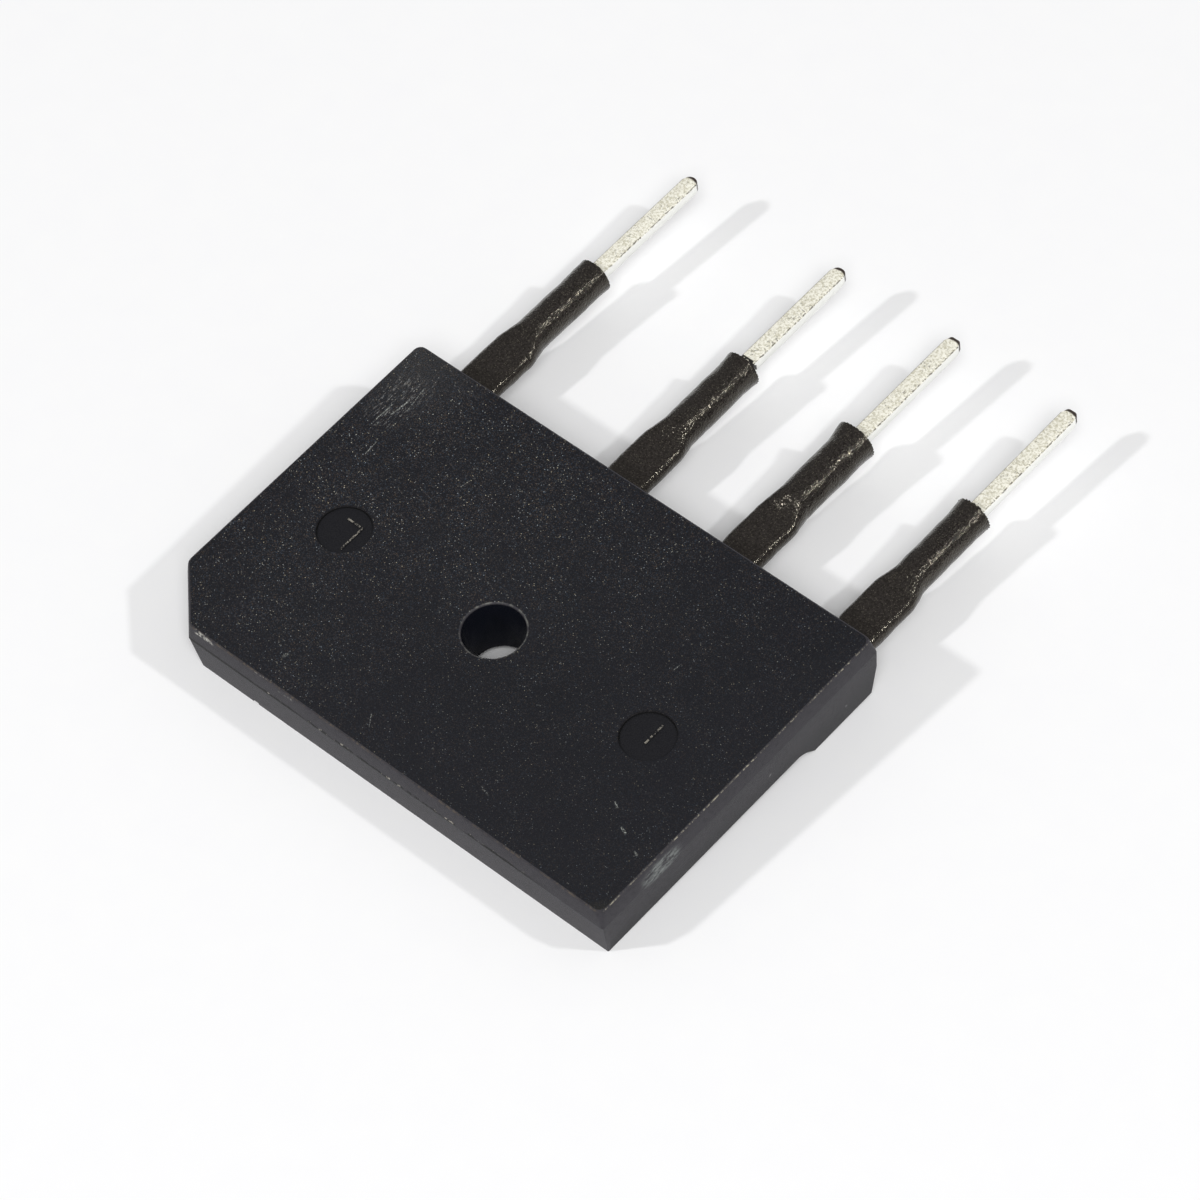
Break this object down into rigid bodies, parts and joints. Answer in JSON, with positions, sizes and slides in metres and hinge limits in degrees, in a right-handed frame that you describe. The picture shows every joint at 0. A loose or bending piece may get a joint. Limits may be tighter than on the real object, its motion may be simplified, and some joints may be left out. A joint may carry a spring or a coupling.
{
  "type": "bridge rectifier",
  "caption": "Flat in-line bridge rectifier with a chamfered corner, a screw hole and four sleeved leads, heatsink face up.",
  "frame": {"origin": "centre of the screw hole, on the heatsink face", "axes": "+Z out of the heatsink face, +Y from the moulding towards the lead tips, +X along the lead row away from the plus lead"},
  "size_m": [0.03, 0.0379, 0.0046],
  "materials": {
    "epoxy": "matte moulding compound with fine light specks",
    "tinned_copper": "matte tin with fine scratches",
    "copper": "bare copper",
    "silicon": "lapped silicon with a glass edge",
    "solder": "dull solder",
    "heat_shrink": "satin polyolefin with a fine bumpy skin"
  },
  "bodies": {
    "root": {"moulded_body": "epoxy", "plus_frame": "tinned_copper", "ac_1_frame": "tinned_copper", "ac_2_frame": "tinned_copper", "minus_frame": "tinned_copper", "die_1": "silicon", "die_2": "silicon", "die_3": "silicon", "die_4": "silicon", "die_solder_1": "solder", "die_solder_2": "solder", "die_solder_3": "solder", "die_solder_4": "solder", "pad_solder_1": "solder", "pad_solder_2": "solder", "pad_solder_3": "solder", "pad_solder_4": "solder", "clip_ac_1": "copper", "clip_ac_2": "copper", "clip_minus": "copper", "foot_solder_ac_1": "solder", "foot_solder_ac_2": "solder", "foot_solder_minus": "solder", "plus_sleeve": "heat_shrink", "ac_1_sleeve": "heat_shrink", "ac_2_sleeve": "heat_shrink", "minus_sleeve": "heat_shrink"}
  },
  "joints": []
}
